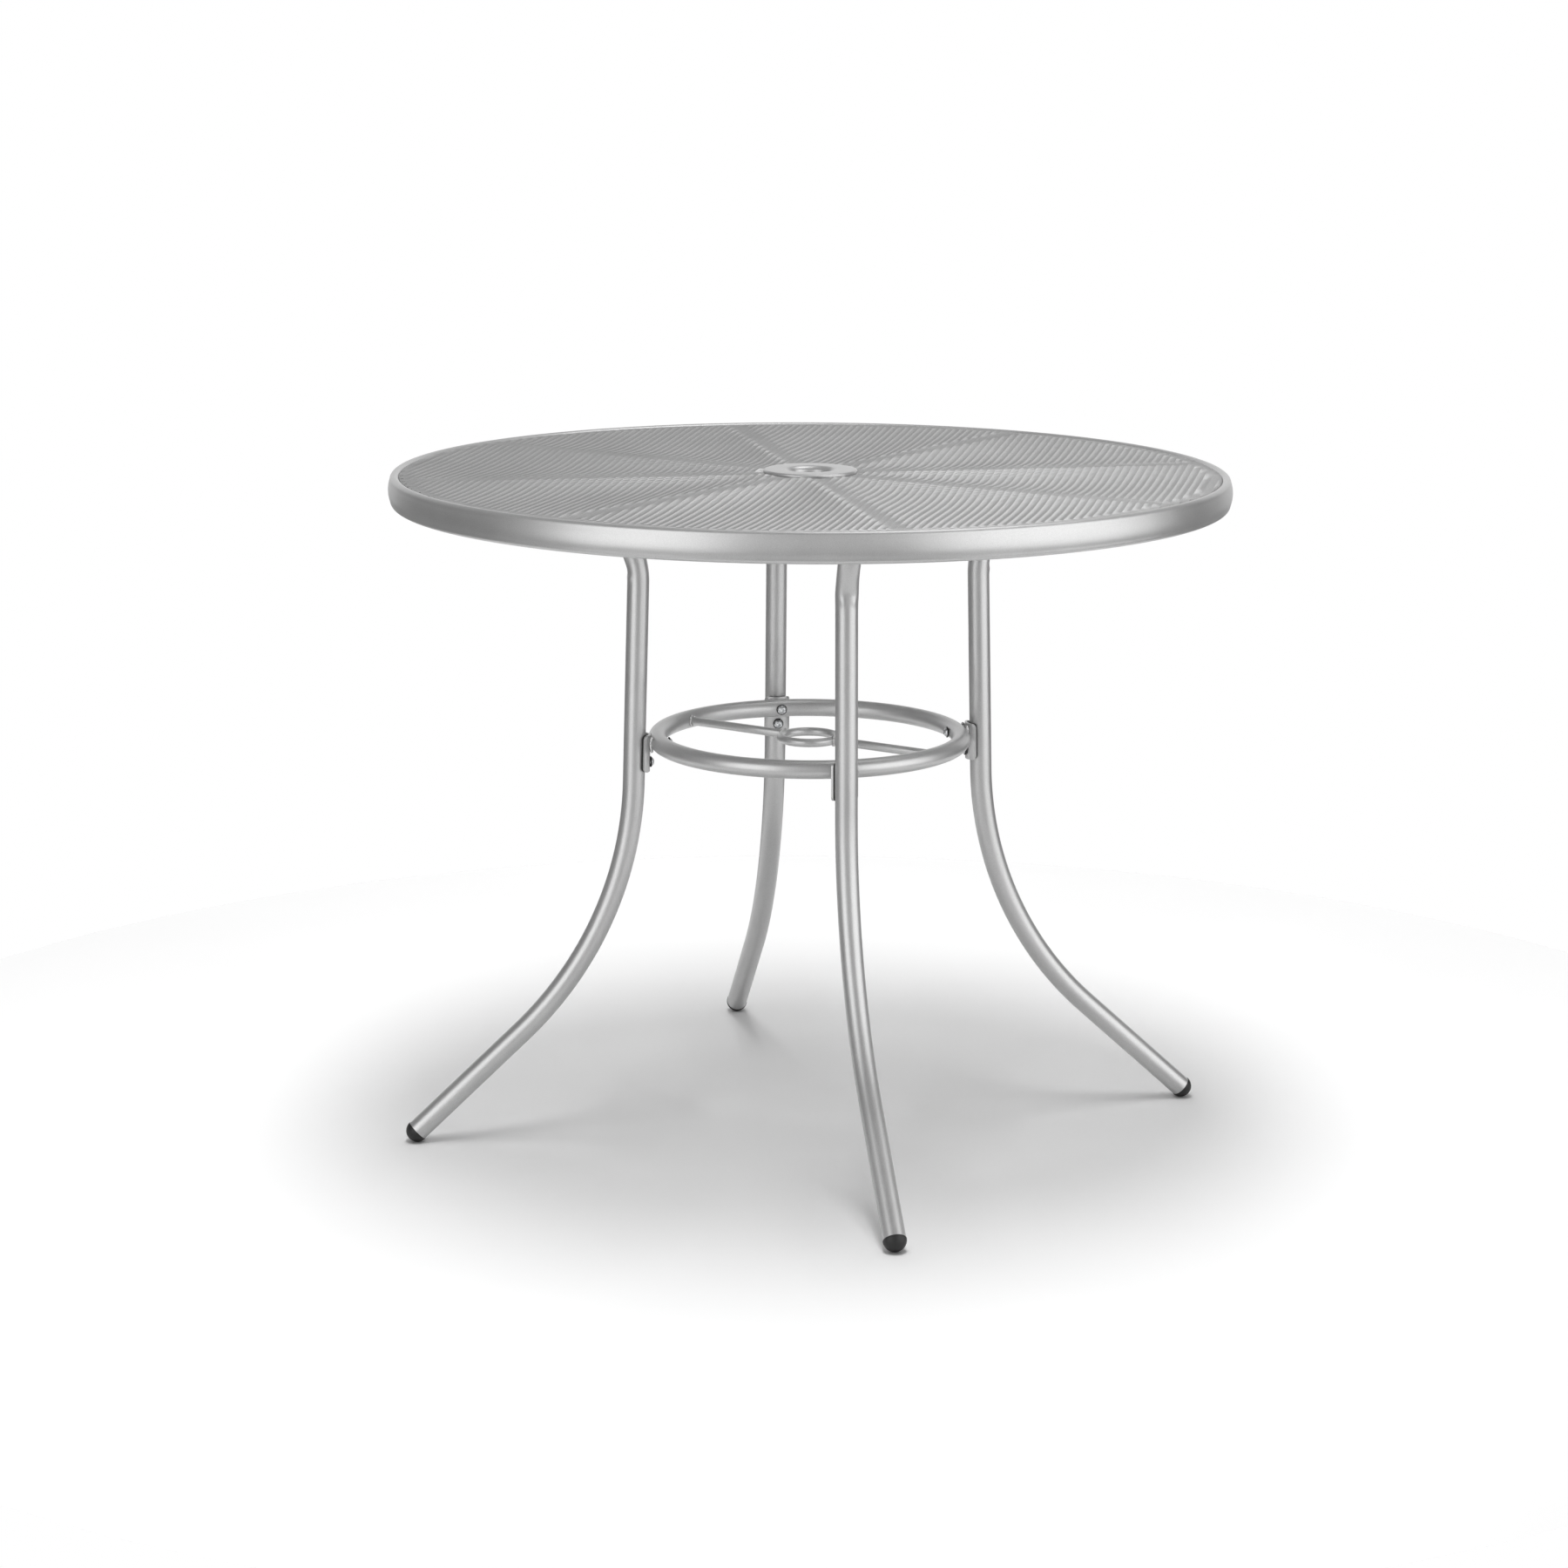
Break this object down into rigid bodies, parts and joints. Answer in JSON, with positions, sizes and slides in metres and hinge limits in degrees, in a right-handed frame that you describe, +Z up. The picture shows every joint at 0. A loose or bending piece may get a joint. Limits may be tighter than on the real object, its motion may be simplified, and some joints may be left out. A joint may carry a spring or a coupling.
{
  "type": "umbrella table",
  "caption": "Round garden table with a steel mesh top, a central umbrella hole, curved tube legs and a brace ring with a pole guide.",
  "frame": {"origin": "on the floor, on the axis of the umbrella hole", "axes": "+Z up along the umbrella hole, legs along -Y (front), +X (right), +Y (back) and -X (left)"},
  "size_m": [0.9138, 0.9138, 0.739],
  "materials": {
    "silver_powder_coat": "satin silver powder coat over steel tube and bar",
    "silver_mesh": "satin silver powder coat over expanded steel mesh",
    "black_plastic": "moulded black plastic caps, plugs, pads and screw washers",
    "zinc_plated_steel": "zinc plated steel screws, bolts, bolt washers and rivet nuts"
  },
  "bodies": {
    "root": {"rim_band": "silver_powder_coat", "inner_hoop": "silver_powder_coat", "hub_plate": "silver_powder_coat", "hub_collar": "silver_powder_coat", "brace_ring": "silver_powder_coat", "guide_ring": "silver_powder_coat", "crossbar_left": "silver_powder_coat", "crossbar_right": "silver_powder_coat", "rib_000": "silver_powder_coat", "rib_045": "silver_powder_coat", "rib_090": "silver_powder_coat", "rib_135": "silver_powder_coat", "rib_180": "silver_powder_coat", "rib_225": "silver_powder_coat", "rib_270": "silver_powder_coat", "rib_315": "silver_powder_coat", "leg_front": "silver_powder_coat", "leg_right": "silver_powder_coat", "leg_back": "silver_powder_coat", "leg_left": "silver_powder_coat", "bracket_front": "silver_powder_coat", "bracket_right": "silver_powder_coat", "bracket_back": "silver_powder_coat", "bracket_left": "silver_powder_coat", "mesh_top": "silver_mesh", "foot_cap_front": "black_plastic", "arm_plug_front": "black_plastic", "bracket_pad_front": "black_plastic", "foot_cap_right": "black_plastic", "arm_plug_right": "black_plastic", "bracket_pad_right": "black_plastic", "foot_cap_back": "black_plastic", "arm_plug_back": "black_plastic", "bracket_pad_back": "black_plastic", "foot_cap_left": "black_plastic", "arm_plug_left": "black_plastic", "bracket_pad_left": "black_plastic", "ring_screws": "zinc_plated_steel", "bracket_screws": "zinc_plated_steel", "ring_screw_washers": "black_plastic", "bracket_screw_washers": "black_plastic", "leg_rivet_nuts": "zinc_plated_steel", "arm_bolts": "zinc_plated_steel", "arm_bolt_washers": "zinc_plated_steel"}
  },
  "joints": []
}
